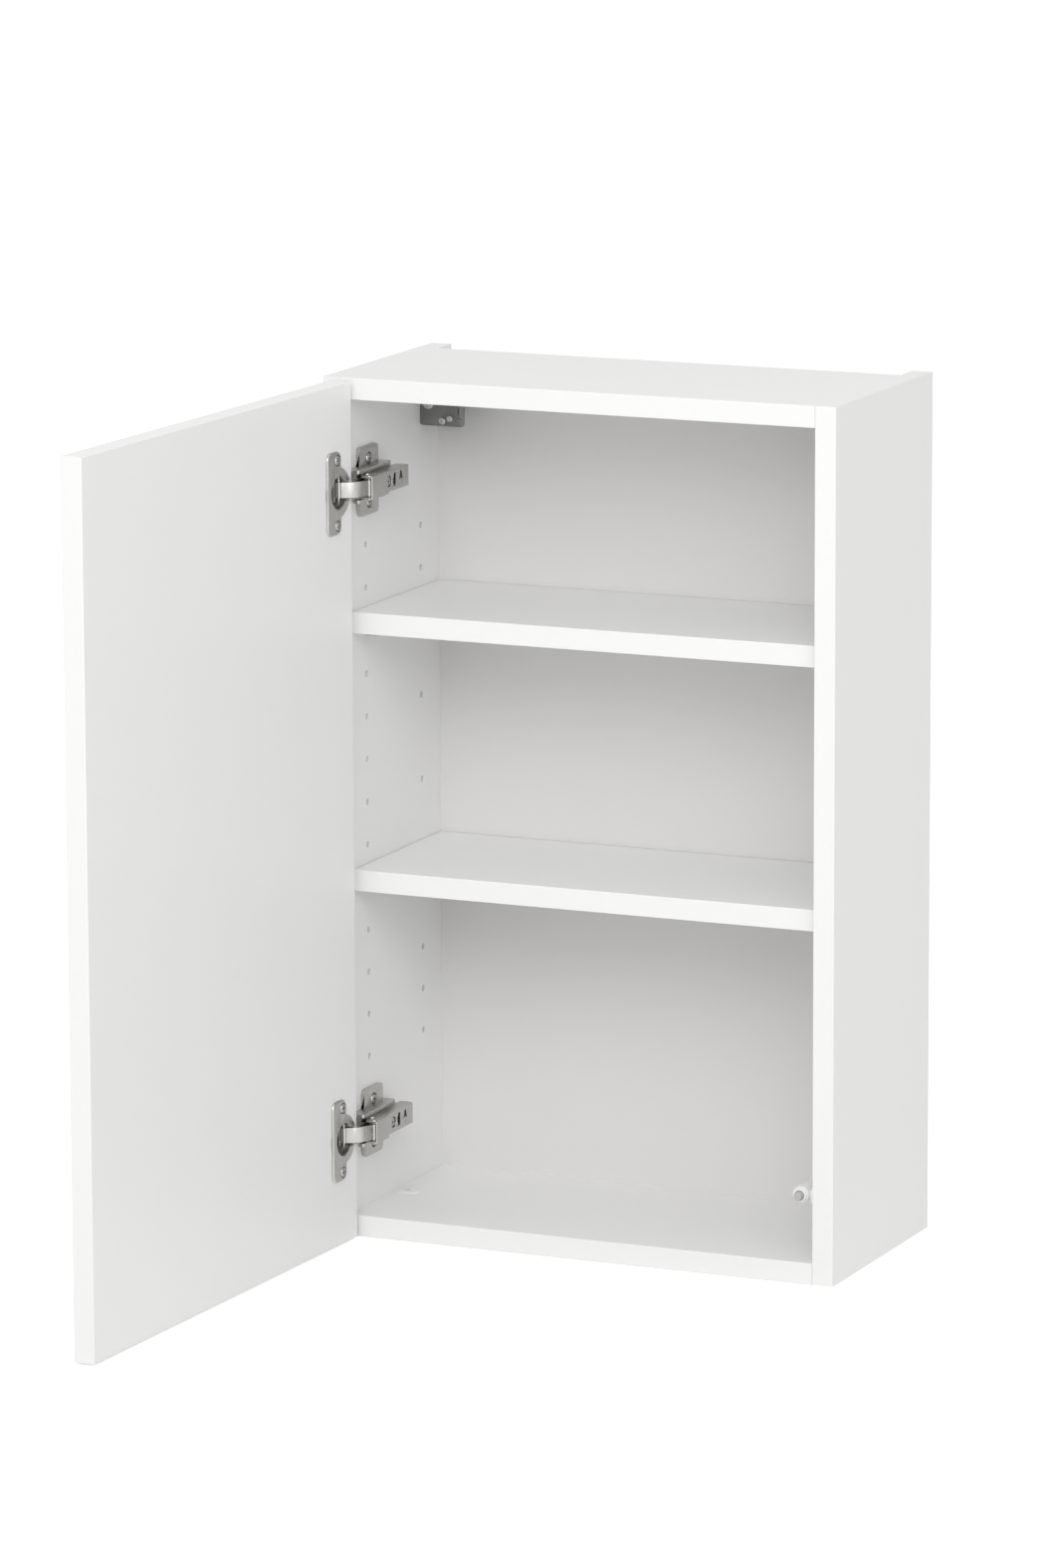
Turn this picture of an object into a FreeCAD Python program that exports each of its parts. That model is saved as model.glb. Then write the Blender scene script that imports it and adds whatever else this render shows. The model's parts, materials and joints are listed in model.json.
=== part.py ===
import FreeCAD, Part
import math
import os

# Hanging wall cabinet, frameless, with one slab door on concealed cup hinges.
# Every piece is modelled in millimetres from the cabinet's front edge: x to the right from the
# middle, y from the front edge (0) towards the wall, z up from the underside. The last step moves
# all of it back, so that the wall plane is y = 0 and the front faces -Y. The door stands open.

Vector = FreeCAD.Vector
X, Y, Z = Vector(1, 0, 0), Vector(0, 1, 0), Vector(0, 0, 1)

# ---- carcass ----
WIDTH = 400.0
HEIGHT = 640.0
DEPTH = 190.0
PANEL = 16.0
BAND = 1.0                        # edge band on every visible board edge
BAND_ROUND = 0.8
BACK_INSET = 24.0                 # room behind the back panel for the wall rail and hooks
BACK_THICKNESS = 3.0
GROOVE_DEPTH = 6.0
GROOVE_PLAY = 0.2
WALL = WIDTH / 2 - PANEL          # inner face of a side, measured from the middle
BACK_Y = DEPTH - BACK_INSET       # front face of the back panel, and the top's and bottom's depth

# ---- drilling, on the 32 mm system ----
PITCH = 32.0
FRONT_ROW = 37.0
REAR_ROW = FRONT_ROW + 3 * PITCH
FIRST_HOLE = 16 * PITCH
HOLE_R = 2.5
HOLE_DEPTH = 10.0
FRONT_HOLES = range(13)
REAR_HOLES = (0, 1, 2, 4, 6, 8, 10, 11, 12)

# ---- shelves and their supports ----
SHELF_HOLES = {"upper": 2, "lower": 8}
SHELF_SETBACK = 11.0
SHELF_GAP = 0.5                   # play at each end of a shelf
SHELF_BACK_GAP = 1.0
SUPPORT_R = 3.5
SUPPORT_REACH = 8.0
SUPPORT_TOP = 2.0                 # flat that the shelf lies on, above the hole's centre

# ---- carcass joints ----
JOINT_Y = BACK_Y / 2
DOWEL_R = 4.0
DOWEL_LENGTH = 30.0
DOWEL_OFFSET = 46.0
CONNECTOR_R = 10.0
CONNECTOR_DEPTH = 12.5
CONNECTOR_RIM = 0.6
CONNECTOR_INSET = 9.5
BOLT_R = 3.0
BACK_SCREWS_X = (-130.0, 0.0, 130.0)

# ---- door ----
DOOR_WIDTH = 397.0
DOOR_HEIGHT = 637.0
DOOR_THICKNESS = 16.0
DOOR_GAP = 2.0                    # between the closed door and the carcass
DOOR_LEFT = -DOOR_WIDTH / 2
DOOR_BOTTOM = (HEIGHT - DOOR_HEIGHT) / 2
OPEN_ANGLE = 92.3                 # how far the door stands open
OPEN_EDGE = Vector(8.8 - WALL, -5.05, 0)   # where its inner hinge-side corner is when it is open

# ---- concealed hinges ----
HINGE_HEIGHTS = {"upper": 17.5 * PITCH, "lower": 2.5 * PITCH}
CUP_R = 17.5
CUP_WALL = 0.9
CUP_DEPTH = 11.7
CUP_EDGE = 5.0                    # board left between the cup bore and the door's edge
CUP_RIM = 1.0
CUP_MOUTH_R = 12.8
FLANGE_HEIGHT = 1.8
FLANGE_FROM, FLANGE_TO = 19.0, 40.0
FLANGE_HALF = 30.5
CUP_SCREW_OFFSET = 2.5
CUP_SCREW_SPACING = 48.0
PIN_R = 1.0
PIN_PLAY = 0.05
EYE_R = 2.1
LINK_THICKNESS = 1.3
OUTER_LINK_HALF = 5.6
INNER_LINK_LAYER = (5.9, 6.8)
INNER_LINK_WIDTH = 1.4
ARM_HALF = 8.7
ARM_SHEET = 0.8
ARM_WEB = 1.2
ARM_REAR = 70.0
SADDLE_TOP = 8.9
PLATE_THICKNESS = 3.2
OUTER_ARM_PIN = Vector(19.5 - WALL, 2.5, 0)    # fixed pins of the two links, in the arm's nose
INNER_ARM_PIN = Vector(14.0 - WALL, 11.0, 0)
OUTER_CUP_REACH = 8.0             # distance of each cup pin from the door's turning point
INNER_CUP_REACH = 3.5
INNER_LINK_ELBOW = Vector(11.5 - WALL, -12.5, 0)
INNER_LINK_END = Vector(5.5 - WALL, -13.5, 0)      # 6.4 short of its cup pin: that pivot is open
CUP_NOTCH = (-1.5, 8.0)           # where the links pass the rim, from the cup bore's edge inwards
CUP_NOTCH_DEPTH = 3.4
CUP_NOTCH_HALF = 7.8
SIDE_SCREW_Y, SLOT_Y, DEPTH_SCREW_Y = 35.0, 45.0, 56.0
SLOT_WIDTH = 3.4

# ---- cabinet hangers ----
HANGER_WIDTH = 35.5
HANGER_FRONT = 133.0
HANGER_BOTTOM = 587.0
HANGER_SHEET = 1.4
HANGER_INNER = 27.0               # the housing's second wall, from the cabinet's side
HOOK_X = 13.0                     # the hook's near face, from the cabinet's side
HOOK_THICKNESS = 3.0
HOOK_SLOT_PLAY = 3.0

# ---- door damper ----
DAMPER_X = WALL - 11.0
DAMPER_Z = 65.0
DAMPER_R = 5.2
DAMPER_BORE = 3.45
DAMPER_FRONT, DAMPER_REAR = 3.0, 52.0
PLUNGER_TIP = -1.0
PLUNGER_END = 34.0

parts = {}


def box(x, y, z):
    """A box from three (low, high) pairs."""
    low = Vector(min(x), min(y), min(z))
    return Part.makeBox(max(x) - min(x), max(y) - min(y), max(z) - min(z), low)


def rod(start, direction, radius, length):
    return Part.makeCylinder(radius, length, start, direction)


def cone(start, direction, r_start, r_end, length):
    return Part.makeCone(r_start, r_end, length, start, direction)


def prism(points, direction):
    """A closed outline of points pushed along a direction."""
    wire = Part.makePolygon([*points, points[0]])
    return Part.Face(wire).extrude(direction)


def join(*shapes):
    return shapes[0].fuse(list(shapes[1:])).removeSplitter()


def group(shapes):
    return Part.makeCompound(list(shapes))


def bored(host, tools):
    """Cut tools from one solid, and drop the plugs that are left inside screw recesses."""
    return max(host.cut(list(tools)).Solids, key=lambda solid: solid.Volume)


def mirror(shape):
    """The same piece on the other side of the cabinet."""
    return shape.mirror(Vector(0, 0, 0), X)


def round_edges(shape, radius, wanted):
    """Fillet the straight edges for which wanted(middle, direction) is true."""
    edges = []
    for edge in shape.Edges:
        if isinstance(edge.Curve, Part.Line):
            middle = edge.CenterOfMass
            direction = edge.tangentAt(edge.FirstParameter)
            if wanted(middle, direction):
                edges.append(edge)
    return shape.makeFillet(radius, edges)


def along(direction, axis):
    return abs(direction.dot(axis)) > 0.99


def banded_edge(shape, y):
    """Round the two long arrises of a band whose outer face is at y."""
    long_axis = Z if shape.BoundBox.ZLength > shape.BoundBox.XLength else X
    return round_edges(shape, BAND_ROUND, lambda m, d: abs(m.y - y) < 0.01 and along(d, long_axis))


def cross_recess(centre, direction, size, depth):
    """The cross-shaped pocket of a screw head, to be cut away."""
    side = Z if abs(direction.dot(Z)) < 0.5 else X
    other = direction.cross(side)
    blades = []
    for a, b in ((side, other), (other, side)):
        corner = centre - a * size - b * size * 0.22 - direction * depth
        corners = [corner, corner + a * 2 * size, corner + a * 2 * size + b * size * 0.44,
                   corner + b * size * 0.44]
        blades.append(prism(corners, direction * depth * 2))
    return blades[0].fuse(blades[1])


def pan_screw(seat, direction, head_r, head_height, shank_r, length):
    """A pan-head screw: seat is under its head, direction points out of the board."""
    head = rod(seat, direction, head_r, head_height)
    rim = [e for e in head.Edges if abs((e.CenterOfMass - seat).dot(direction) - head_height) < 0.01]
    head = head.makeFillet(head_height * 0.45, rim)
    shank = rod(seat - direction * length, direction, shank_r, length)
    recess = cross_recess(seat + direction * head_height, direction, head_r * 0.55, head_height * 0.6)
    return head.fuse(shank).cut(recess)


def add(name, shape):
    parts[name] = shape


# ---- carcass boards ----

def shelf_pin_bores():
    cuts = []
    for row, holes in ((FRONT_ROW, FRONT_HOLES), (REAR_ROW, REAR_HOLES)):
        for k in holes:
            cuts.append(rod(Vector(-WALL - HOLE_DEPTH, row, FIRST_HOLE - k * PITCH), X, HOLE_R, HOLE_DEPTH))
    return cuts


def plate_screw_points():
    return {name: [Vector(-WALL, FRONT_ROW, z + side * PITCH / 2) for side in (-1, 1)]
            for name, z in HINGE_HEIGHTS.items()}


def joint_heights():
    return PANEL / 2, HEIGHT - PANEL / 2


def dowels():
    """Wooden dowels in the left corner joints, in front of and behind each connector."""
    start = -WALL - HOLE_DEPTH
    return [rod(Vector(start, JOINT_Y + offset, z), X, DOWEL_R, DOWEL_LENGTH)
            for z in joint_heights() for offset in (-DOWEL_OFFSET, DOWEL_OFFSET)]


def connector_bolts():
    """Steel bolts screwed into the left side, each with a neck and a head inside its housing."""
    bolts = []
    for z in joint_heights():
        start = Vector(-WALL - HOLE_DEPTH, JOINT_Y, z)
        shank = rod(start, X, BOLT_R, HOLE_DEPTH + 6)
        neck = rod(start, X, BOLT_R * 0.6, HOLE_DEPTH + 12)
        head = rod(start + X * (HOLE_DEPTH + 10), X, BOLT_R, 3)
        bolts.append(join(shank, neck, head))
    return bolts


def connector_housings():
    """Round white cam housings let into the bottom and the top, with their turning cross."""
    housings = []
    for z, up in ((PANEL, Z), (HEIGHT - PANEL, -Z)):
        centre = Vector(-WALL + CONNECTOR_INSET, JOINT_Y, z)
        body = rod(centre - up * CONNECTOR_DEPTH, up, CONNECTOR_R - 0.6, CONNECTOR_DEPTH)
        rim = rod(centre, up, CONNECTOR_R, CONNECTOR_RIM)
        housing = join(body, rim).cut(cross_recess(centre + up * CONNECTOR_RIM, up, 3.6, 3.0))
        # the housing stands right at the side, so its rim is cut off there
        housings.append(housing.common(box((-WALL, 0), (0, DEPTH), (0, HEIGHT))))
    return housings


def hanger_side_screws():
    """Screws that hold the left hanger's housing to the side."""
    middle_z = HANGER_BOTTOM + 18
    seat_x = -WALL + HANGER_SHEET
    return [pan_screw(Vector(seat_x, HANGER_FRONT + offset, middle_z + lift), X, 3.2, 1.6, 1.9, 13)
            for offset, lift in ((10, -8), (24, 8))]


def make_carcass():
    groove = box((-WALL - GROOVE_DEPTH, -WALL), (BACK_Y, BACK_Y + BACK_THICKNESS + GROOVE_PLAY), (0, HEIGHT))
    side = box((-WIDTH / 2, -WALL), (BAND, DEPTH), (0, HEIGHT)).cut(groove)
    side = bored(side, [*shelf_pin_bores(), *dowels(), *connector_bolts(), *hanger_side_screws()])
    hinge_holes = [rod(point - X * 11.5, X, HOLE_R, 11.5)
                   for points in plate_screw_points().values() for point in points]
    add("left_side", bored(side, hinge_holes))
    add("right_side", bored(mirror(side), damper_screws()))

    band = banded_edge(box((-WIDTH / 2, -WALL), (0, BAND), (0, HEIGHT)), 0)
    add("left_side_front_band", band)
    add("right_side_front_band", mirror(band))

    fittings = [*dowels(), *connector_bolts(), *connector_housings()]
    fittings += [mirror(piece) for piece in fittings]
    for name, z in (("bottom", 0), ("top", HEIGHT - PANEL)):
        board = box((-WALL, WALL), (BAND, BACK_Y), (z, z + PANEL))
        add(f"{name}_panel", bored(board, [*fittings, *back_screws()]))
        add(f"{name}_front_band", banded_edge(box((-WALL, WALL), (0, BAND), (z, z + PANEL)), 0))

    add("carcass_dowels", group([*dowels(), *[mirror(piece) for piece in dowels()]]))
    bolts = connector_bolts()
    add("connector_bolts", group([*bolts, *[mirror(piece) for piece in bolts]]))
    housings = [housing.cut(bolts) for housing in connector_housings()]
    add("connector_housings", group([*housings, *[mirror(piece) for piece in housings]]))


def back_screws():
    return [pan_screw(Vector(x, BACK_Y + BACK_THICKNESS, z), Y, 3.4, 1.8, 1.7, 16)
            for x in BACK_SCREWS_X for z in joint_heights()]


def make_back():
    half = WALL + GROOVE_DEPTH - 0.5
    panel = box((-half, half), (BACK_Y, BACK_Y + BACK_THICKNESS), (0.5, HEIGHT - 0.5))
    slot_x = (-WALL + HOOK_X - HOOK_SLOT_PLAY, -WALL + HOOK_X + HOOK_THICKNESS + HOOK_SLOT_PLAY)
    slot = box(slot_x, (0, DEPTH), (HANGER_BOTTOM + 2, HEIGHT))
    add("back_panel", bored(panel, [slot, mirror(slot), *back_screws()]))
    add("back_panel_screws", group(back_screws()))


def make_shelves():
    for name, k in SHELF_HOLES.items():
        hole_z = FIRST_HOLE - k * PITCH
        z = hole_z + SUPPORT_TOP
        half = WALL - SHELF_GAP
        front, rear = SHELF_SETBACK, BACK_Y - SHELF_BACK_GAP
        add(f"{name}_shelf", box((-half, half), (front + BAND, rear), (z, z + PANEL)))
        band = box((-half, half), (front, front + BAND), (z, z + PANEL))
        add(f"{name}_shelf_front_band", banded_edge(band, front))
        supports = []
        for row in (FRONT_ROW, REAR_ROW):
            peg = rod(Vector(-WALL - HOLE_DEPTH + 0.5, row, hole_z), X, HOLE_R, HOLE_DEPTH + 1)
            seat = rod(Vector(-WALL, row, hole_z), X, SUPPORT_R, SUPPORT_REACH)
            above = box((-WALL, 0), (0, DEPTH), (z, z + PANEL))
            supports.append(join(peg, seat).cut(above))
        add(f"{name}_shelf_supports", group([*supports, *[mirror(piece) for piece in supports]]))


# ---- how the door turns ----

def turned(point, degrees, centre):
    return centre + FreeCAD.Rotation(Z, degrees).multVec(point - centre)


def turning_point():
    """The point about which one turn by OPEN_ANGLE carries the closed door to its open place."""
    closed_edge = Vector(DOOR_LEFT, -DOOR_GAP, 0)
    chord = OPEN_EDGE - closed_edge
    square = Vector(-chord.y, chord.x, 0)
    return (closed_edge + OPEN_EDGE) * 0.5 - square * (0.5 / math.tan(math.radians(OPEN_ANGLE / 2)))


def cup_pin(arm_pin, reach):
    """Closed place of a cup pin that stays one link's length from its arm pin at both ends."""
    centre = turning_point()
    towards = (arm_pin - centre).normalize()
    return centre + FreeCAD.Rotation(Z, OPEN_ANGLE / 2).multVec(towards) * reach


def open_door(shape):
    return shape.rotated(turning_point(), Z, -OPEN_ANGLE)


def open_point(point):
    return turned(point, -OPEN_ANGLE, turning_point())


OUTER_CUP_PIN = cup_pin(OUTER_ARM_PIN, OUTER_CUP_REACH)
INNER_CUP_PIN = cup_pin(INNER_ARM_PIN, INNER_CUP_REACH)


# ---- hinges ----

def at(point, z):
    return Vector(point.x, point.y, z)


def hinge_pin(point, z, half):
    return rod(at(point, z - half), Z, PIN_R, 2 * half)


def curved_strip(start, bulge, end, thickness, z, half):
    """A bent strip along the arc through three points, standing z - half to z + half."""
    arc = Part.Arc(start, bulge, end).toShape()
    centre = arc.Curve.Center
    radius = arc.Curve.Radius
    rims = []
    for factor in (1 + thickness / 2 / radius, 1 - thickness / 2 / radius):
        rims.append([centre + (point - centre) * factor for point in (start, bulge, end)])
    outer, inner = rims
    wire = Part.Wire([Part.Arc(*outer).toShape(), Part.makeLine(outer[2], inner[2]),
                      Part.Arc(*reversed(inner)).toShape(), Part.makeLine(inner[0], outer[0])])
    strip = Part.Face(wire).extrude(Z * 2 * half)
    strip.translate(Z * (z - half))
    return strip


def outer_link(z):
    """The wide bent link, with an eye on each pin."""
    start, end = OUTER_ARM_PIN, open_point(OUTER_CUP_PIN)
    chord = end - start
    bulge = start + chord * 0.6 + Vector(chord.y, -chord.x, 0).normalize() * -3.4
    strip = curved_strip(start, bulge, end, LINK_THICKNESS, z, OUTER_LINK_HALF)
    eyes = [rod(at(point, z - OUTER_LINK_HALF), Z, EYE_R, 2 * OUTER_LINK_HALF) for point in (start, end)]
    bores = [rod(at(point, z - ARM_HALF), Z, PIN_R + PIN_PLAY, 2 * ARM_HALF) for point in (start, end)]
    return join(strip, *eyes).cut(bores)


def inner_link(z):
    """Two cranked cheeks on one sleeve. They stop short of their cup pin: that pivot is open."""
    start = INNER_ARM_PIN
    elbow, end = INNER_LINK_ELBOW, INNER_LINK_END
    low, high = INNER_LINK_LAYER
    cheeks = []
    for bottom in (z + low, z - high):
        for a, b in ((start, elbow), (elbow, end)):
            side = Vector(a.y - b.y, b.x - a.x, 0).normalize() * INNER_LINK_WIDTH / 2
            outline = [at(p, bottom) for p in (a + side, b + side, b - side, a - side)]
            cheeks.append(prism(outline, Z * (high - low)))
        for point, radius in ((start, 2.4), (elbow, INNER_LINK_WIDTH / 2), (end, INNER_LINK_WIDTH / 2)):
            cheeks.append(rod(at(point, bottom), Z, radius, high - low))
    sleeve = rod(at(start, z - high), Z, 2.2, 2 * high)
    bore = rod(at(start, z - ARM_HALF), Z, PIN_R + PIN_PLAY, 2 * ARM_HALF)
    return join(sleeve, *cheeks).cut(bore)


def hinge_arm(z):
    """The pressed channel that carries both arm pins, open below and at its nose."""
    def outline(points, half):
        return prism([Vector(reach - WALL, y, z - half) for reach, y in points], Z * 2 * half)

    shell = outline([(22.4, 2.2), (22.4, 23), (20.0, 27), (20.0, ARM_REAR - 3), (17.0, ARM_REAR),
                     (SADDLE_TOP, ARM_REAR), (SADDLE_TOP, 9), (12.0, 5.5), (17.0, 0.5), (20.6, 0.5)],
                    ARM_HALF)
    shell = round_edges(shell, 0.7, lambda m, d: abs(abs(m.z - z) - ARM_HALF) < 0.01 and m.x > 18 - WALL)
    web_front = 22.4 - ARM_WEB
    web_rear = 20.0 - ARM_WEB
    channel = outline([(30.0, -5), (30.0, 5.4), (web_front, 5.4), (web_front, 22.6), (web_rear, 26.4),
                       (web_rear, ARM_REAR + 1), (0.0, ARM_REAR + 1), (0.0, -5)], ARM_HALF - ARM_SHEET)
    slot = box((10 - WALL, 24 - WALL), (SLOT_Y - SLOT_WIDTH / 2, SLOT_Y + SLOT_WIDTH / 2), (z - 4.5, z + 4.5))
    return bored(shell, [channel, slot, *arm_pins(z), *adjusting_screws(z)])


def arm_pins(z):
    return [hinge_pin(point, z, ARM_HALF) for point in (OUTER_ARM_PIN, INNER_ARM_PIN)]


def adjusting_screws(z):
    """The side screw near the nose and the fixing screw behind the slot."""
    seat = 20.0 - WALL - 0.4
    side = pan_screw(Vector(seat, SIDE_SCREW_Y, z), X, 2.9, 0.9, 2.0, seat + WALL - SADDLE_TOP)
    depth = pan_screw(Vector(seat, DEPTH_SCREW_Y, z), X, 3.3, 1.1, 2.4, seat + WALL - 3)
    return [side, depth]


def mounting_plate(z):
    wings = box((-WALL, -WALL + PLATE_THICKNESS), (21, 53), (z - 25.5, z + 25.5))
    wings = round_edges(wings, 4.0, lambda m, d: along(d, X))
    saddle = box((-WALL, -WALL + SADDLE_TOP), (12, 66), (z - 11.5, z + 11.5))
    saddle = round_edges(saddle, 3.0, lambda m, d: along(d, X))
    plate = join(wings, saddle)
    rim = [e for e in plate.Edges if abs(e.CenterOfMass.x + WALL - SADDLE_TOP) < 0.01]
    plate = plate.makeFillet(0.8, rim)
    return bored(plate, [*plate_screws(z), *adjusting_screws(z)])


def plate_screws(z):
    seat_x = -WALL + PLATE_THICKNESS
    return [pan_screw(Vector(seat_x, FRONT_ROW, z + side * PITCH / 2), X, 3.8, 1.6, HOLE_R, 13.2)
            for side in (-1, 1)]


def snap_spring(z):
    """Leaf spring under the arm's web that snaps the inner link shut."""
    points = [(17.6, 31), (18.2, 31), (17.5, 13), (16.9, 13)]
    return prism([Vector(reach - WALL, y, z - 4) for reach, y in points], Z * 8)


def clip_lever(z):
    """Release lever at the arm's rear end."""
    half = ARM_HALF - ARM_SHEET - 0.4
    lever = box((11 - WALL, 16.5 - WALL), (62.5, ARM_REAR + 1.6), (z - half, z + half))
    lever = round_edges(lever, 1.2, lambda m, d: along(d, Z) and m.y > ARM_REAR)
    return lever


def cup_centre():
    return Vector(DOOR_LEFT + CUP_EDGE + CUP_R, -DOOR_GAP, 0)


def cup_pins(z):
    """Cross pins of the two links, held in the cup's wall."""
    pins = []
    for point in (OUTER_CUP_PIN, INNER_CUP_PIN):
        offset = abs(point.x - cup_centre().x) + PIN_R
        half = math.sqrt((CUP_R - CUP_WALL / 2) ** 2 - offset ** 2)
        pins.append(hinge_pin(point, z, half))
    return pins


def cup_screws(z):
    centre = cup_centre() + X * CUP_SCREW_OFFSET + Y * FLANGE_HEIGHT
    screws = []
    for side in (-1, 1):
        top = at(centre, z + side * CUP_SCREW_SPACING / 2)
        head = cone(top - Y * 2.2, Y, 1.8, 3.6, 2.2)
        shank = rod(top - Y * 12, Y, 1.8, 10)
        screws.append(join(head, shank).cut(cross_recess(top, Y, 2.0, 1.2)))
    return screws


def hinge_cup(z):
    """Pressed cup with a rim and an oval flange, in its closed place."""
    face = at(cup_centre(), z)
    body = rod(face - Y * CUP_DEPTH, Y, CUP_R, CUP_DEPTH)
    rim = rod(face, Y, CUP_R + 1, CUP_RIM)
    flange = box((DOOR_LEFT + FLANGE_FROM, DOOR_LEFT + FLANGE_TO), (-DOOR_GAP, -DOOR_GAP + FLANGE_HEIGHT),
                 (z - FLANGE_HALF, z + FLANGE_HALF))
    flange = round_edges(flange, 9.0, lambda m, d: along(d, Y))
    outer = [e for e in flange.Edges if abs(e.CenterOfMass.y + DOOR_GAP - FLANGE_HEIGHT) < 0.01]
    flange = flange.makeFillet(1.2, outer)
    hollow = rod(face - Y * (CUP_DEPTH - CUP_WALL), Y, CUP_R - CUP_WALL, CUP_DEPTH - CUP_WALL)
    mouth = rod(face - Y, Y, CUP_MOUTH_R, 5)
    notch_x = [DOOR_LEFT + CUP_EDGE + reach for reach in CUP_NOTCH]
    notch_y = (face.y - CUP_NOTCH_DEPTH, face.y + 2 * CUP_RIM)
    notch = box(notch_x, notch_y, (z - CUP_NOTCH_HALF, z + CUP_NOTCH_HALF))
    return bored(join(body, rim, flange), [hollow, mouth, notch, *cup_pins(z), *cup_screws(z)])


def make_hinges():
    for name, z in HINGE_HEIGHTS.items():
        add(f"{name}_hinge_plate", mounting_plate(z))
        add(f"{name}_hinge_plate_screws", group(plate_screws(z)))
        add(f"{name}_hinge_arm", hinge_arm(z))
        add(f"{name}_hinge_arm_pins", group(arm_pins(z)))
        add(f"{name}_hinge_adjusting_screws", group(adjusting_screws(z)))
        add(f"{name}_hinge_clip_lever", clip_lever(z))
        add(f"{name}_hinge_spring", snap_spring(z))
        add(f"{name}_hinge_outer_link", outer_link(z))
        add(f"{name}_hinge_inner_link", inner_link(z))
        add(f"{name}_hinge_cup", open_door(hinge_cup(z)))
        add(f"{name}_hinge_cup_pins", open_door(group(cup_pins(z))))
        add(f"{name}_hinge_cup_screws", open_door(group(cup_screws(z))))


def make_door():
    x = (DOOR_LEFT, -DOOR_LEFT)
    y = (-DOOR_GAP - DOOR_THICKNESS, -DOOR_GAP)
    z = (DOOR_BOTTOM, DOOR_BOTTOM + DOOR_HEIGHT)
    core = box((x[0] + BAND, x[1] - BAND), y, (z[0] + BAND, z[1] - BAND))
    cuts = []
    for height in HINGE_HEIGHTS.values():
        cuts.append(rod(at(cup_centre(), height) - Y * CUP_DEPTH, Y, CUP_R, CUP_DEPTH))
        cuts += cup_screws(height)
    add("door_panel", open_door(bored(core, cuts)))

    bands = [box(edge, y, z) for edge in ((x[0], x[0] + BAND), (x[1] - BAND, x[1]))]
    bands += [box((x[0] + BAND, x[1] - BAND), y, edge) for edge in ((z[0], z[0] + BAND), (z[1] - BAND, z[1]))]
    rounded = []
    for band in bands:
        upright = band.BoundBox.ZLength > band.BoundBox.XLength
        axis = Z if upright else X
        rounded.append(round_edges(band, BAND_ROUND, lambda m, d: along(d, axis) and (
            abs(m.x) > x[1] - 0.01 if upright else abs(m.z - HEIGHT / 2) > DOOR_HEIGHT / 2 - 0.01)))
    add("door_edge_bands", open_door(group(rounded)))


# ---- hangers ----

def hanger_screws():
    """Front screws of the left hanger: one for the depth, one for the height, one to lock it."""
    front = HANGER_FRONT
    places = ((7.3, 604.5, 4.0, 2.0, 2.4, 14),
              (18.2, 590.8, 2.6, 1.4, 1.8, 6),
              (24.2, 592.8, 2.4, 1.0, 1.8, 5))
    return [pan_screw(Vector(reach - WALL, front, z), -Y, head, height, shank, length)
            for reach, z, head, height, shank, length in places]


def hanger_housing():
    """Folded steel housing in the upper rear corner, screwed to the side."""
    top = HEIGHT - PANEL - 0.2
    rear = BACK_Y
    z = (HANGER_BOTTOM, top)
    front = box((-WALL, -WALL + HANGER_WIDTH), (HANGER_FRONT, HANGER_FRONT + HANGER_SHEET), z)
    front = round_edges(front, 2.5, lambda m, d: along(d, Y) and m.z < HANGER_BOTTOM + 1)
    side = box((-WALL, -WALL + HANGER_SHEET), (HANGER_FRONT, rear), z)
    wall = box((-WALL + HANGER_INNER - HANGER_SHEET, -WALL + HANGER_INNER), (HANGER_FRONT, rear), z)
    slot = box((-WALL + 30.0, -WALL + 32.0), (0, DEPTH), (HANGER_BOTTOM + 9, HANGER_BOTTOM + 26))
    return bored(join(front, side, wall), [slot, *hanger_screws(), *hanger_side_screws()])


def hanger_hook():
    """Plate that reaches through the back panel and hooks over the wall rail."""
    points = [(142, 598), (142, 612), (183, 612), (187, 608), (187, 584), (182, 584), (182, 600), (178, 602),
              (160, 602), (156, 598)]
    outline = [Vector(-WALL + HOOK_X, y, z) for y, z in points]
    return prism(outline, X * HOOK_THICKNESS)


def make_hangers():
    housing, hook = hanger_housing(), hanger_hook()
    for name, placed in (("left", lambda shape: shape), ("right", mirror)):
        add(f"{name}_hanger_housing", placed(housing))
        add(f"{name}_hanger_hook", placed(hook))
        add(f"{name}_hanger_adjusting_screws", group([placed(piece) for piece in hanger_screws()]))
        add(f"{name}_hanger_fixing_screws", group([placed(piece) for piece in hanger_side_screws()]))


# ---- damper ----

def damper_screws():
    """Countersunk screws of the damper's holder, in the right side."""
    screws = []
    for y in (33.0, 45.0):
        seat = Vector(WALL - 2.8, y, DAMPER_Z + (8.5 if y < 40 else -8.5))
        head = cone(seat, X, 3.2, 1.6, 1.8)
        screws.append(join(head, rod(seat, X, 1.6, 13)).cut(cross_recess(seat, -X, 1.8, 1.0)))
    return screws


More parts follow.
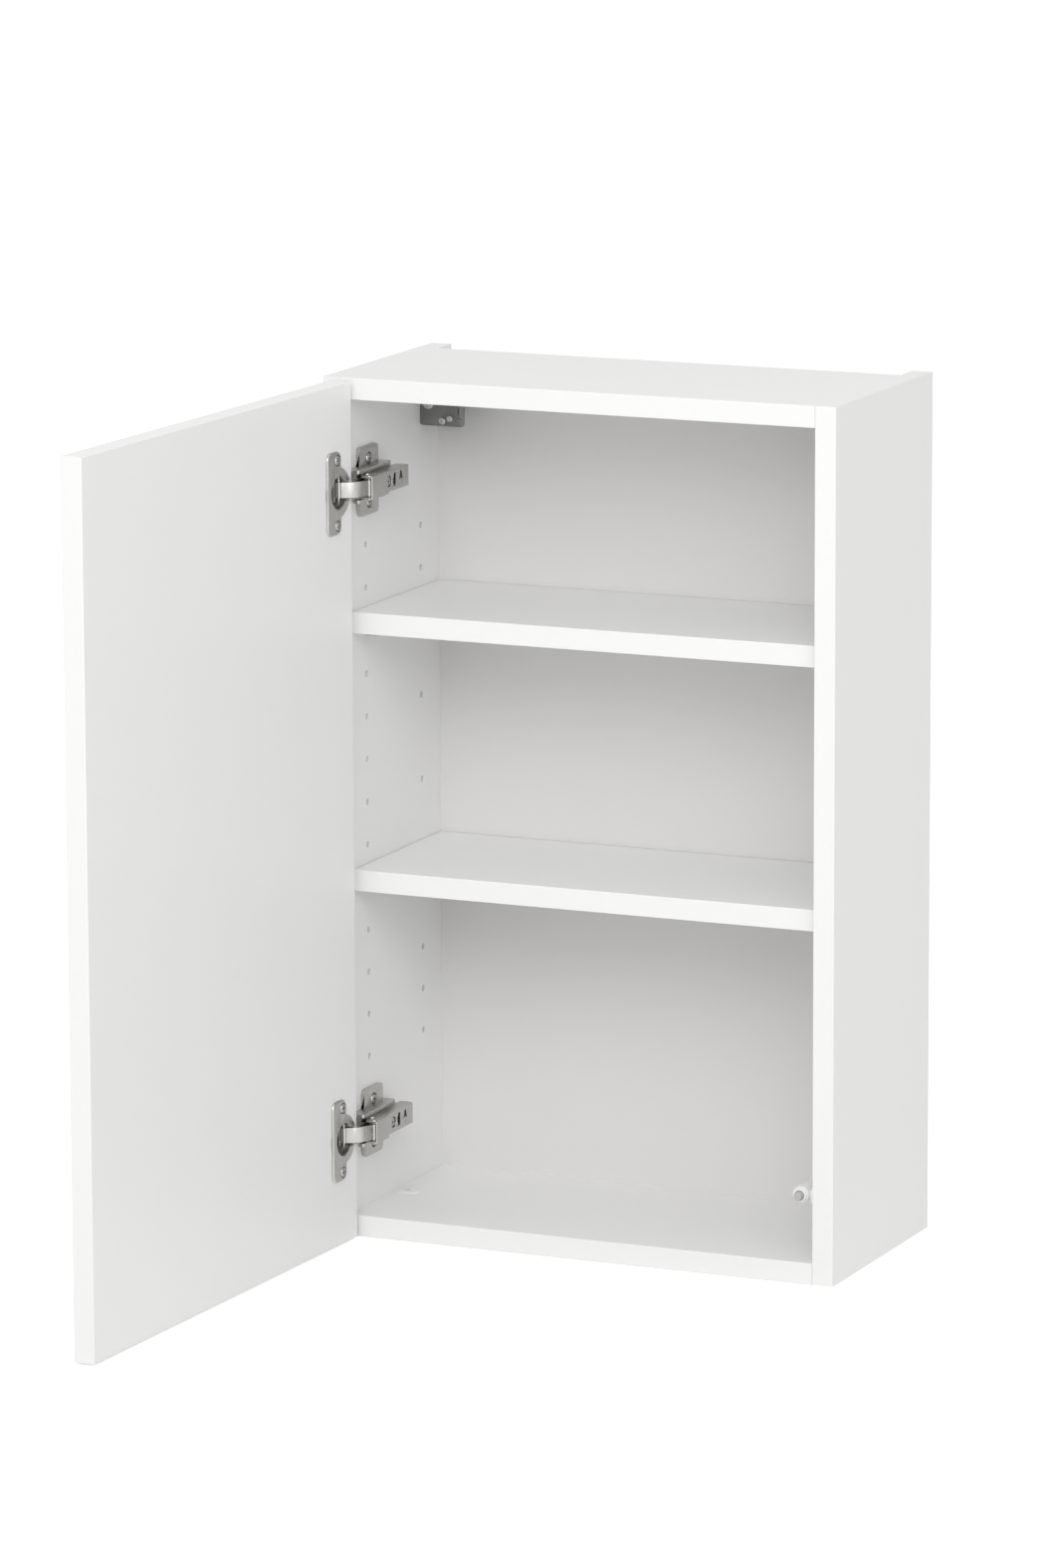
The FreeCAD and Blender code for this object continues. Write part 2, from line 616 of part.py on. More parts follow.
def make_damper():
    centre = Vector(DAMPER_X, 0, DAMPER_Z)
    base = box((WALL - 2.8, WALL), (5, 52), (DAMPER_Z - 5.5, DAMPER_Z + 5.5))
    ears = box((WALL - 2.8, WALL), (28, 50), (DAMPER_Z - 13, DAMPER_Z + 13))
    ears = round_edges(ears, 3.0, lambda m, d: along(d, X))
    neck = box((DAMPER_X, WALL - 1), (9, 46), (DAMPER_Z - 2.6, DAMPER_Z + 2.6))
    cradle = rod(centre + Y * 6, Y, DAMPER_R + 0.9, 42)
    seat = rod(centre, Y, DAMPER_R, DEPTH)
    holder = bored(join(join(base, ears), neck, cradle), [seat, *damper_screws()])
    add("damper_holder", holder)
    add("damper_holder_screws", group(damper_screws()))

    shell = rod(centre + Y * DAMPER_FRONT, Y, DAMPER_R, DAMPER_REAR - DAMPER_FRONT)
    rims = [e for e in shell.Edges if abs(e.CenterOfMass.y - DAMPER_FRONT) < 0.01]
    shell = shell.makeFillet(0.8, rims)
    bore = rod(centre - Y * 5, Y, DAMPER_BORE, DAMPER_REAR - 2 + 5)
    add("damper_cylinder", shell.cut(bore))

    plunger = rod(centre + Y * PLUNGER_TIP, Y, DAMPER_BORE - PIN_PLAY, PLUNGER_END - PLUNGER_TIP)
    tip = [e for e in plunger.Edges if abs(e.CenterOfMass.y - PLUNGER_TIP) < 0.01]
    add("damper_plunger", plunger.makeFillet(1.0, tip))


make_carcass()
make_back()
make_shelves()
make_door()
make_hinges()
make_hangers()
make_damper()

os.makedirs("parts", exist_ok=True)
for old in os.listdir("parts"):
    if old.endswith(".step") and old[:-5] not in parts:
        os.remove(os.path.join("parts", old))
for part_name, part_shape in parts.items():
    part_shape.translate(Vector(0, -DEPTH, 0))
    part_shape.exportStep(f"parts/{part_name}.step")
    good = part_shape.isValid() and part_shape.Volume > 0
    print(f"{part_name}: {len(part_shape.Solids)} solids, {part_shape.Volume / 1000:.2f} cm3, valid {good}")
print(len(parts), "parts")
for pin_name, pin in (("outer arm pin", OUTER_ARM_PIN), ("inner arm pin", INNER_ARM_PIN),
                      ("outer cup pin, open", open_point(OUTER_CUP_PIN)),
                      ("outer cup pin, closed", OUTER_CUP_PIN), ("turning point", turning_point())):
    print(pin_name, round(pin.x, 3), round(pin.y - DEPTH, 3))
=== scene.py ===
import json
import math

import bmesh
import bpy
from bpy.props import FloatProperty, FloatVectorProperty, PointerProperty
from mathutils import Matrix, Vector


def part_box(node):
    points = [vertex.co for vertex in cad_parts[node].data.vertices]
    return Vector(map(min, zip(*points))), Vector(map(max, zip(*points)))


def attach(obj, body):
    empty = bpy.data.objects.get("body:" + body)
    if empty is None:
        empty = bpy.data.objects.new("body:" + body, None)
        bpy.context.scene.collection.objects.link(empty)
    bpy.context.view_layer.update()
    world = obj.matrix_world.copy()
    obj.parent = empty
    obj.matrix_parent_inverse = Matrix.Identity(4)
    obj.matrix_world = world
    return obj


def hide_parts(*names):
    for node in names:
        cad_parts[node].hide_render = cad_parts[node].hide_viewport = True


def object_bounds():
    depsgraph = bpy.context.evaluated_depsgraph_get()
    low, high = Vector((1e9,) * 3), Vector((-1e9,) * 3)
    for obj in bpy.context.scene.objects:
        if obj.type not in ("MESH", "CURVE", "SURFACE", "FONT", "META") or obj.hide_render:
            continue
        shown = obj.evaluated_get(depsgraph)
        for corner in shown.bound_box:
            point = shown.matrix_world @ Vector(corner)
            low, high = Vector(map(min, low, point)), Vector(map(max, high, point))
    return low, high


bl_info = {
    "name": "Hanging wall cabinet",
    "version": (1, 0, 0),
    "blender": (4, 5, 0),
    "location": "View3D > Sidebar > Wall cabinet",
    "description": "Finishes, fittings and a studio for a frameless wall cabinet with concealed hinges",
    "category": "Object",
}

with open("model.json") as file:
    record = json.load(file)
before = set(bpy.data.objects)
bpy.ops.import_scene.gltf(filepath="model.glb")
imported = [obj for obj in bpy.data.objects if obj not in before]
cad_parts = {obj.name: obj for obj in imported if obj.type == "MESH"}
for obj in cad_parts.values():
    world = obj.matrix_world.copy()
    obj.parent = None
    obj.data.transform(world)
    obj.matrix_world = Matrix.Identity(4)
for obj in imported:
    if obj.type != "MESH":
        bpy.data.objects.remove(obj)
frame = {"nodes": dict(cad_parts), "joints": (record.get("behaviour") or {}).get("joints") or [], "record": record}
CAD_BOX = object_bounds()
NODES = frame["nodes"]
JOINTS = {joint["name"]: joint for joint in frame["joints"]}

MM = 0.001
X, Y, Z = Vector((1, 0, 0)), Vector((0, 1, 0)), Vector((0, 0, 1))

# Places that the fittings are measured from, all taken from the frame.
SIDE_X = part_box("left_side")[1].x                  # inner face of the left side
FRONT_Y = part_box("left_side_front_band")[0].y      # front edge of the cabinet
ARM_PIN = Vector(JOINTS["hinge_link_swing"]["pos_m"])
INNER_ARM_PIN = Vector(JOINTS["hinge_inner_link_swing"]["pos_m"])
CUP_PIN = Vector(JOINTS["door_swing"]["pos_m"])
UPPER_Z = (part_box("upper_hinge_arm")[0].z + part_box("upper_hinge_arm")[1].z) / 2
LOWER_Z = (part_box("lower_hinge_arm")[0].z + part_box("lower_hinge_arm")[1].z) / 2

# The open door: its inner hinge-side corner, and how far it stands past square.
DOOR_CORNER = Vector((SIDE_X + 8.8 * MM, FRONT_Y - 5.05 * MM, 0))
PAST_SQUARE = math.radians(2.3)


def linear(code):
    """Linear red, green and blue of an sRGB hex colour."""
    levels = [int(code[i:i + 2], 16) / 255 for i in (1, 3, 5)]
    return [v / 12.92 if v <= 0.04045 else ((v + 0.055) / 1.055) ** 2.4 for v in levels]


def colour_setting(name, description, code):
    return FloatVectorProperty(name=name, description=description, default=linear(code),
                               subtype="COLOR", size=3, min=0, max=1)


# ---------------------------------------------------------------- settings

class CabinetFinishes(bpy.types.PropertyGroup):
    """Colours of the boards and fittings."""
    board: colour_setting("Board", "Face of the melamine boards", "#F2F2F1")
    band: colour_setting("Edge band", "Band on the boards' edges", "#F4F4F3")
    back: colour_setting("Back panel", "Lacquered face of the back panel", "#E3E2E2")
    nickel: colour_setting("Nickel", "Plated steel of the hinges", "#C2C1BD")
    hanger: colour_setting("Hanger", "Passivated steel of the hangers", "#8C8C8C")
    zinc: colour_setting("Zinc", "Bright plated screws", "#C9CACB")
    plastic: colour_setting("White plastic", "Damper and connector covers", "#F1F1EF")
    plunger: colour_setting("Grey plastic", "Tip of the damper", "#B9B9B5")


class CabinetSizes(bpy.types.PropertyGroup):
    """Edge radii and sheet sizes of the fittings."""
    sheet_round: FloatProperty(name="Sheet rounding", description="Radius on the edges of pressed sheet",
                               default=0.45 * MM, unit="LENGTH", min=0)
    board_grain: FloatProperty(name="Board grain", description="Size of the pearl grain on the boards",
                               default=1.1 * MM, unit="LENGTH", min=0.1 * MM)
    metal_grain: FloatProperty(name="Plating grain", description="Size of the mottling in the plating",
                               default=0.9 * MM, unit="LENGTH", min=0.1 * MM)


def finishes():
    return bpy.context.scene.cabinet_finishes


def sizes():
    return bpy.context.scene.cabinet_sizes


# ---------------------------------------------------------------- materials

def add_node(tree, kind, inputs=None, **settings):
    """One shader node with its settings, and its inputs set to a value or linked to a socket."""
    node = tree.nodes.new(kind)
    for name, value in settings.items():
        setattr(node, name, value)
    for name, value in (inputs or {}).items():
        if isinstance(value, bpy.types.NodeSocket):
            tree.links.new(value, node.inputs[name])
        else:
            node.inputs[name].default_value = value
    return node


def new_material(name, colour, roughness, **shader):
    """A material with its principled shader set, and the object coordinates for its pattern."""
    material = bpy.data.materials.new(name)
    material.use_nodes = True
    tree = material.node_tree
    bsdf = tree.nodes["Principled BSDF"]
    bsdf.inputs["Base Color"].default_value = (*colour, 1)
    bsdf.inputs["Roughness"].default_value = roughness
    for name_of_input, value in shader.items():
        bsdf.inputs[name_of_input.replace("_", " ")].default_value = value
    place = add_node(tree, "ShaderNodeTexCoord").outputs["Object"]
    return material, tree, bsdf, place


def shade_between(tree, factor, colour, darker):
    """The colour, and the same colour darkened, mixed by a pattern."""
    dark = [c * darker for c in colour]
    mix = add_node(tree, "ShaderNodeMix", {0: factor}, data_type="RGBA")
    mix.inputs[6].default_value = (*dark, 1)
    mix.inputs[7].default_value = (*colour, 1)
    return mix.outputs[2]


def melamine_board(grain):
    """Melamine-faced particle board: pressed resin paper with a fine pearl grain.

    The grain is about 0.4 mm on the real board. It is drawn coarser so that it still shows.
    """
    material, tree, bsdf, place = new_material("white_melamine_board", finishes().board, 0.42)
    cells = add_node(tree, "ShaderNodeTexVoronoi", {"Vector": place, "Scale": 1 / grain}, feature="SMOOTH_F1")
    cloud = add_node(tree, "ShaderNodeTexNoise", {"Vector": place, "Scale": 1 / (60 * MM), "Detail": 3.0})
    colour = shade_between(tree, cloud.outputs["Fac"], finishes().board, 0.985)
    tree.links.new(colour, bsdf.inputs["Base Color"])
    gloss = add_node(tree, "ShaderNodeMapRange", {"Value": cells.outputs["Distance"], "To Min": 0.36, "To Max": 0.5})
    tree.links.new(gloss.outputs[0], bsdf.inputs["Roughness"])
    bump = add_node(tree, "ShaderNodeBump", {"Height": cells.outputs["Distance"], "Strength": 0.08,
                                             "Distance": 0.05 * MM})
    tree.links.new(bump.outputs[0], bsdf.inputs["Normal"])
    return material


def edge_band():
    """Extruded ABS edge band: smoother than the boards, with faint drawing lines along it."""
    material, tree, bsdf, place = new_material("white_abs_edge_band", finishes().band, 0.34)
    stretched = add_node(tree, "ShaderNodeMapping", {"Vector": place, "Scale": (1.0, 6.0, 1.0)})
    lines = add_node(tree, "ShaderNodeTexNoise", {"Vector": stretched.outputs[0], "Scale": 1 / (5 * MM),
                                                  "Detail": 4.0})
    tree.links.new(shade_between(tree, lines.outputs["Fac"], finishes().band, 0.985), bsdf.inputs["Base Color"])
    gloss = add_node(tree, "ShaderNodeMapRange", {"Value": lines.outputs["Fac"], "To Min": 0.28, "To Max": 0.42})
    tree.links.new(gloss.outputs[0], bsdf.inputs["Roughness"])
    return material


def back_board():
    """Lacquered thin fibreboard: a rolled coat that leaves a soft orange peel."""
    material, tree, bsdf, place = new_material("white_lacquered_fibreboard", finishes().back, 0.5)
    peel = add_node(tree, "ShaderNodeTexNoise", {"Vector": place, "Scale": 1 / (2.5 * MM), "Detail": 2.0})
    cloud = add_node(tree, "ShaderNodeTexNoise", {"Vector": place, "Scale": 1 / (80 * MM), "Detail": 2.0})
    tree.links.new(shade_between(tree, cloud.outputs["Fac"], finishes().back, 0.98), bsdf.inputs["Base Color"])
    bump = add_node(tree, "ShaderNodeBump", {"Height": peel.outputs["Fac"], "Strength": 0.1,
                                             "Distance": 0.08 * MM})
    tree.links.new(bump.outputs[0], bsdf.inputs["Normal"])
    return material


def plated_steel(name, colour, rough_low, rough_high, darker, grain):
    """Plated pressed steel: the sheet's rolling shows as a faint mottling in tone and in gloss."""
    material, tree, bsdf, place = new_material(name, colour, rough_low, Metallic=1.0)
    mottle = add_node(tree, "ShaderNodeTexNoise", {"Vector": place, "Scale": 1 / grain, "Detail": 4.0,
                                                   "Roughness": 0.6})
    tree.links.new(shade_between(tree, mottle.outputs["Fac"], colour, darker), bsdf.inputs["Base Color"])
    gloss = add_node(tree, "ShaderNodeMapRange", {"Value": mottle.outputs["Fac"], "From Min": 0.3,
                                                  "From Max": 0.7, "To Min": rough_low, "To Max": rough_high})
    tree.links.new(gloss.outputs[0], bsdf.inputs["Roughness"])
    bump = add_node(tree, "ShaderNodeBump", {"Height": mottle.outputs["Fac"], "Strength": 0.12,
                                             "Distance": 0.04 * MM})
    tree.links.new(bump.outputs[0], bsdf.inputs["Normal"])
    return material


def moulded_plastic(name, colour, roughness):
    """Injection-moulded plastic from a spark-eroded mould: an even, very fine matt grain."""
    material, tree, bsdf, place = new_material(name, colour, roughness)
    grain = add_node(tree, "ShaderNodeTexNoise", {"Vector": place, "Scale": 1 / (0.5 * MM), "Detail": 2.0})
    tree.links.new(shade_between(tree, grain.outputs["Fac"], colour, 0.97), bsdf.inputs["Base Color"])
    bump = add_node(tree, "ShaderNodeBump", {"Height": grain.outputs["Fac"], "Strength": 0.15,
                                             "Distance": 0.03 * MM})
    tree.links.new(bump.outputs[0], bsdf.inputs["Normal"])
    return material


def beech():
    """Turned beech dowel: short grey-brown flecks drawn out along the grain."""
    colour = linear("#CDA97A")
    material, tree, bsdf, place = new_material("turned_beech", colour, 0.6)
    along = add_node(tree, "ShaderNodeMapping", {"Vector": place, "Scale": (0.15, 1.0, 1.0)})
    grain = add_node(tree, "ShaderNodeTexNoise", {"Vector": along.outputs[0], "Scale": 1 / (0.8 * MM),
                                                  "Detail": 5.0})
    tree.links.new(shade_between(tree, grain.outputs["Fac"], colour, 0.7), bsdf.inputs["Base Color"])
    return material


# ---------------------------------------------------------------- modelling helpers

def nothing_selected():
    if bpy.context.object and bpy.context.object.mode != "OBJECT":
        bpy.ops.object.mode_set(mode="OBJECT")
    bpy.ops.object.select_all(action="DESELECT")


def only(obj):
    nothing_selected()
    obj.select_set(True)
    bpy.context.view_layer.objects.active = obj


def settle():
    """Move the active object's place, turn and size into its mesh."""
    bpy.ops.object.transform_apply(location=True, rotation=True, scale=True)


def block(name, x, y, z):
    """A box between two limits on each axis."""
    nothing_selected()
    low, high = Vector((min(x), min(y), min(z))), Vector((max(x), max(y), max(z)))
    bpy.ops.mesh.primitive_cube_add(size=1, location=(low + high) / 2)
    obj = bpy.context.object
    obj.name = name
    obj.scale = high - low
    settle()
    return obj


def drum(name, start, axis, radius, length, sides=48, tip_radius=None):
    """A cylinder or a cone from a start point along an axis."""
    nothing_selected()
    tip_radius = radius if tip_radius is None else tip_radius
    turn = axis.to_track_quat("Z", "Y").to_euler()
    bpy.ops.mesh.primitive_cone_add(vertices=sides, radius1=radius, radius2=tip_radius, depth=length,
                                    location=start + axis * length / 2, rotation=turn)
    obj = bpy.context.object
    obj.name = name
    settle()
    return obj


def traced(name, points, push):
    """An outline drawn corner by corner from one vertex, filled, and pushed to its thickness."""
    nothing_selected()
    bpy.ops.mesh.primitive_plane_add(size=MM, location=(0, 0, 0))
    obj = bpy.context.object
    obj.name = name
    bpy.ops.object.mode_set(mode="EDIT")
    bpy.ops.mesh.select_all(action="SELECT")
    bpy.ops.mesh.merge(type="CENTER")
    bpy.ops.transform.translate(value=points[0])
    for here, there in zip(points, points[1:]):
        bpy.ops.mesh.extrude_region_move(TRANSFORM_OT_translate={"value": there - here})
    bpy.ops.mesh.select_all(action="SELECT")
    bpy.ops.mesh.edge_face_add()
    bpy.ops.mesh.select_all(action="SELECT")
    bpy.ops.mesh.extrude_region_move(TRANSFORM_OT_translate={"value": push})
    bpy.ops.mesh.select_all(action="SELECT")
    bpy.ops.mesh.normals_make_consistent(inside=False)
    bpy.ops.object.mode_set(mode="OBJECT")
    return obj


def round_edges(obj, radius, wanted, segments=4):
    """Bevel in edit mode the edges for which wanted(middle, direction) is true."""
    only(obj)
    bpy.ops.object.mode_set(mode="EDIT")
    bpy.ops.mesh.select_mode(type="EDGE")
    bpy.ops.mesh.select_all(action="DESELECT")
    mesh = bmesh.from_edit_mesh(obj.data)
    found = 0
    for edge in mesh.edges:
        a, b = (vertex.co for vertex in edge.verts)
        if wanted((a + b) / 2, (b - a).normalized()):
            edge.select_set(True)
            found += 1
    mesh.select_flush_mode()
    bmesh.update_edit_mesh(obj.data)
    if not found:
        raise RuntimeError(f"no edge to round on {obj.name}")
    bpy.ops.mesh.bevel(offset=radius, segments=segments, affect="EDGES")
    bpy.ops.mesh.select_mode(type="VERT")
    bpy.ops.object.mode_set(mode="OBJECT")
    return obj


def apply_modifier(obj, kind, **settings):
    only(obj)
    modifier = obj.modifiers.new(kind.lower(), kind)
    for name, value in settings.items():
        setattr(modifier, name, value)
    bpy.ops.object.modifier_apply(modifier=modifier.name)
    return obj


def combine(obj, other, operation):
    """Join a second solid to the first or cut it out, and delete the second."""
    apply_modifier(obj, "BOOLEAN", object=other, operation=operation, solver="EXACT")
    bpy.data.objects.remove(other)
    if not obj.data.polygons:
        raise RuntimeError(f"{obj.name} was lost in a boolean")
    return obj


def cut(obj, *tools):
    for tool in tools:
        combine(obj, tool, "DIFFERENCE")
    return obj


def weld(obj, *others):
    for other in others:
        combine(obj, other, "UNION")
    return obj


def soften(obj, radius, segments=3, angle=40):
    """Small rounded arrises all over, then smooth shading between them."""
    apply_modifier(obj, "BEVEL", width=radius, segments=segments, limit_method="ANGLE",
                   angle_limit=math.radians(angle), miter_outer="MITER_ARC", use_clamp_overlap=True)
    only(obj)
    bpy.ops.object.shade_smooth_by_angle(angle=math.radians(38))
    return obj


def duplicate(obj, name, matrix=None):
    """A copy with its own mesh, moved or mirrored in its mesh."""
    only(obj)
    bpy.ops.object.duplicate()
    copy = bpy.context.object
    copy.name = name
    if matrix is not None:
        copy.data.transform(matrix)
        if matrix.determinant() < 0:
            bpy.ops.object.mode_set(mode="EDIT")
            bpy.ops.mesh.select_all(action="SELECT")
            bpy.ops.mesh.remove_doubles(threshold=MM / 1000)
            bpy.ops.mesh.normals_make_consistent(inside=False)
            bpy.ops.object.mode_set(mode="OBJECT")
    return copy


def joined(name, pieces):
    nothing_selected()
    for piece in pieces:
        piece.select_set(True)
    bpy.context.view_layer.objects.active = pieces[0]
    if len(pieces) > 1:
        bpy.ops.object.join()
    pieces[0].name = name
    return pieces[0]


def finish_piece(obj, body, slot, material, *nodes):
    """Give a piece its finish, its body and the nodes that it stands for."""
    obj.data.materials.clear()
    obj.data.materials.append(material)
    obj.data.name = obj.name
    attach(obj, body)
    if nodes:
        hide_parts(*nodes)
    return obj


def along(direction, axis):
    return abs(direction.dot(axis)) > 0.99


def close_to(value, target):
    return abs(value - target) < 0.02 * MM


# ---------------------------------------------------------------- screws

def pan_head(name, seat, axis, radius, height, arm):
    """A pan head with a domed rim, a flat top and a cross recess, on a stub of its shank."""
    head = drum(name, seat, axis, radius, height, sides=40)
    top = seat + axis * height
    round_edges(head, height * 0.55, lambda m, d: abs((m - top).dot(axis)) < 0.01 * MM and
                (m - top).length > radius * 0.9, segments=5)
    return cross_cut(head, top, axis, arm, height * 0.65)


def cross_cut(head, top, axis, arm, depth):
    """Sink a cross recess, slightly tapered, with a dimple at its middle."""
    side = Z if abs(axis.dot(Z)) < 0.5 else X
    other = axis.cross(side)
    for a, b in ((side, other), (other, side)):
        corners = [top + a * s * arm + b * t * arm * 0.2 - axis * depth for s, t in
                   ((-1, -1), (1, -1), (1, 1), (-1, 1))]
        cut(head, traced("recess", corners, axis * depth * 2))
    cut(head, drum("dimple", top - axis * depth * 1.2, axis, arm * 0.2, depth * 2, sides=16, tip_radius=arm * 0.45))
    only(head)
    bpy.ops.object.shade_smooth_by_angle(angle=math.radians(30))
    return head


# ---------------------------------------------------------------- hinges

def hinge_point(reach, y, z):
    """A place on the cabinet's left side: out from the side, back from the front edge, above the middle."""
    return Vector((SIDE_X + reach * MM, FRONT_Y + y * MM, UPPER_Z + z * MM))


def hinge_block(name, reach, y, z):
    low, high = hinge_point(reach[0], y[0], z[0]), hinge_point(reach[1], y[1], z[1])
    return block(name, (low.x, high.x), (low.y, high.y), (low.z, high.z))


def mounting_plate():
    """Pressed cross-shaped plate: two screwed wings, and a raised saddle with folded lips."""
    wings = hinge_block("upper_hinge_plate_piece", (0, 3.2), (21, 53), (-25.5, 25.5))
    round_edges(wings, 4 * MM, lambda m, d: along(d, X), segments=6)
    for side in (-1, 1):
        seat = hinge_point(1.2, 37, side * 16)
        cut(wings, drum("screw_recess", seat, X, 4.7 * MM, 4 * MM))
    saddle = hinge_block("saddle", (0, 8.9), (3, 62), (-11.6, 11.6))
    round_edges(saddle, 2.5 * MM, lambda m, d: along(d, X), segments=5)
    for side in (-1, 1):
        lip = hinge_block("lip", (7.2, 12.0), (1, 53), sorted((side * 9.6, side * 12.2)))
        round_edges(lip, 1.6 * MM, lambda m, d: along(d, Z) and m.x > SIDE_X + 10 * MM, segments=5)
        weld(saddle, lip)
    weld(wings, saddle)
    return soften(wings, sizes().sheet_round)


def hinge_arm():
    """Pressed channel: a wide nose block around the links' pins, and a lower web behind it."""
    outline = [(23.0, 0.4), (23.0, 21.0), (20.0, 24.6), (20.0, 69.0), (17.5, 71.0), (9.2, 71.0),
               (9.2, 9.0), (11.6, 5.0), (13.6, 1.6), (17.0, 0.4), (21.4, 0.2)]
    body = traced("upper_hinge_arm_piece", [hinge_point(reach, y, -8.2) for reach, y in outline], Z * 16.4 * MM)
    round_edges(body, 0.4 * MM, lambda m, d: along(d, Z) and m.x > SIDE_X + 22.5 * MM, segments=3)
    # the web behind the nose is a little narrower than the nose
    for side in (-1, 1):
        cut(body, hinge_block("waist", (5, 25), (24.5, 80), sorted((side * 7.6, side * 10))))
    channel = [(21.9, -6.0), (21.9, 20.2), (18.8, 23.9), (18.8, 75.0),
               (0.0, 75.0), (0.0, -6.0)]
    cut(body, traced("channel", [hinge_point(reach, y, -6.9) for reach, y in channel], Z * 13.8 * MM))
    cut(body, hinge_block("slot", (10, 30), (42.4, 47.2), (-4.4, 5.2)))
    cut(body, drum("side_screw_hole", hinge_point(10, 35.5, 0), X, 4.2 * MM, 15 * MM))
    keyhole = [(56 - 3.2, -1.0), (56 + 3.2, -1.0), (56 + 1.0, 5.2), (56 - 1.0, 5.2)]
    cut(body, traced("keyhole", [hinge_point(10, y, z) for y, z in keyhole], X * 20 * MM))
    return soften(body, sizes().sheet_round)


def pin_heads():
    """Riveted heads of the links' pins, on both faces of the arm's nose."""
    heads = []
    for pin, radius in ((ARM_PIN, 2.3), (INNER_ARM_PIN, 2.1)):
        for side in (-1, 1):
            seat = Vector((pin.x, pin.y, UPPER_Z + side * 8.2 * MM))
            head = drum("rivet", seat, Z * side, radius * MM, 0.9 * MM, sides=32)
            top = seat + Z * side * 0.9 * MM
            round_edges(head, 0.6 * MM, lambda m, d: close_to(m.z, top.z) and (m - top).length > radius * 0.9 * MM)
            only(head)
            bpy.ops.object.shade_smooth_by_angle(angle=math.radians(40))
            heads.append(head)
    return joined("upper_hinge_pin_heads", heads)


def arm_screws():
    """The side screw in its hole near the nose, and the fixing screw behind the slot."""
    side = pan_head("side_screw", hinge_point(17.6, 35.5, 0), X, 3.7 * MM, 1.9 * MM, 2.2 * MM)
    fixing = pan_head("fixing_screw", hinge_point(19.0, 56, -2.6), X, 2.7 * MM, 1.3 * MM, 1.5 * MM)
    stems = [drum("stem", hinge_point(9.0, y, z), X, r * MM, 9.0 * MM) for y, z, r in ((35.5, 0, 2.0), (56, -2.6, 2.2))]
    return joined("upper_hinge_arm_screws", [side, fixing, *stems])


def wing_screws():
    heads = [pan_head("wing_screw", hinge_point(1.2, 37, side * 16), X, 3.8 * MM, 2.6 * MM, 2.3 * MM)
             for side in (-1, 1)]
    return joined("upper_hinge_wing_screws", heads)


def link_strap():
    """Wide bent strap between the two outer pins: rolled over each pin, gently arched between."""
    start, end = Vector((ARM_PIN.x, ARM_PIN.y, 0)), Vector((CUP_PIN.x, CUP_PIN.y, 0))
    chord = end - start
    square = Vector((-chord.y, chord.x, 0)).normalized()
    thickness, arch, steps = 1.5 * MM, 3.4 * MM, 14
    outer, inner = [], []
    for i in range(steps + 1):
        t = i / steps
        point = start + chord * t + square * arch * math.sin(math.pi * t ** 1.2)
        outer.append(point + square * thickness / 2)
        inner.append(point - square * thickness / 2)
    low = Z * (UPPER_Z - 5.6 * MM)
    strap = traced("upper_hinge_link_piece", [p + low for p in outer + inner[::-1]], Z * 11.2 * MM)
    for pin in (start, end):
        weld(strap, drum("eye", pin + low, Z, 2.15 * MM, 11.2 * MM, sides=32))
    for pin in (start, end):
        cut(strap, drum("bore", pin + low - Z * MM, Z, 1.06 * MM, 14 * MM, sides=24))
    return soften(strap, 0.35 * MM)


def door_point(distance, height, z):
    """A place on the open door, as if it stood square: from its hinge edge, and out from its face."""
    return Vector((DOOR_CORNER.x + height * MM, DOOR_CORNER.y - distance * MM, UPPER_Z + z * MM))


def set_on_door(obj):
    """Turn a piece that was made square to the cabinet to the door's own angle."""
    turn = Matrix.Rotation(-PAST_SQUARE, 4, "Z")
    obj.data.transform(Matrix.Translation(DOOR_CORNER) @ turn @ Matrix.Translation(-DOOR_CORNER))
    return obj


def hinge_cup():
    """Drawn steel cup: a round rim, an upright flange for two screws, and a slotted mouth."""
    centre = door_point(22.5, 0, 0)
    cup = drum("upper_hinge_cup_piece", centre - X * 11.7 * MM, X, 17.4 * MM, 11.8 * MM, sides=96)
    rim = drum("rim", centre, X, 18.5 * MM, 1.1 * MM, sides=96)
    low, high = door_point(40, 0, -30.5), door_point(19, 1.9, 30.5)
    flange = block("flange", (low.x, high.x), (low.y, high.y), (low.z, high.z))
    round_edges(flange, 6 * MM, lambda m, d: along(d, X), segments=8)
    round_edges(flange, 1.5 * MM, lambda m, d: close_to(m.x, high.x) and not along(d, X), segments=5)
    weld(cup, rim, flange)
    hollow = drum("hollow", centre - X * 10.8 * MM, X, 16.5 * MM, 10.0 * MM, sides=96)
    mouth = drum("mouth", centre - X * 1.5 * MM, X, 12.4 * MM, 6 * MM, sides=72)
    low, high = door_point(16, -3.4, -7.4), door_point(2, 4, 7.4)
    notch = block("notch", (low.x, high.x), (low.y, high.y), (low.z, high.z))
    cut(cup, hollow, mouth, notch)
    for side in (-1, 1):
        cut(cup, drum("screw_recess", door_point(25, 0.4, side * 24), X, 4.3 * MM, 3 * MM))
    return set_on_door(soften(cup, 0.35 * MM))


def cup_screws():
    screws = []
    for side in (-1, 1):
        screws.append(pan_head("cup_screw", door_point(25, 0.4, side * 24), X, 3.6 * MM, 2.0 * MM, 2.2 * MM))
    return set_on_door(joined("upper_hinge_cup_screws_piece", screws))


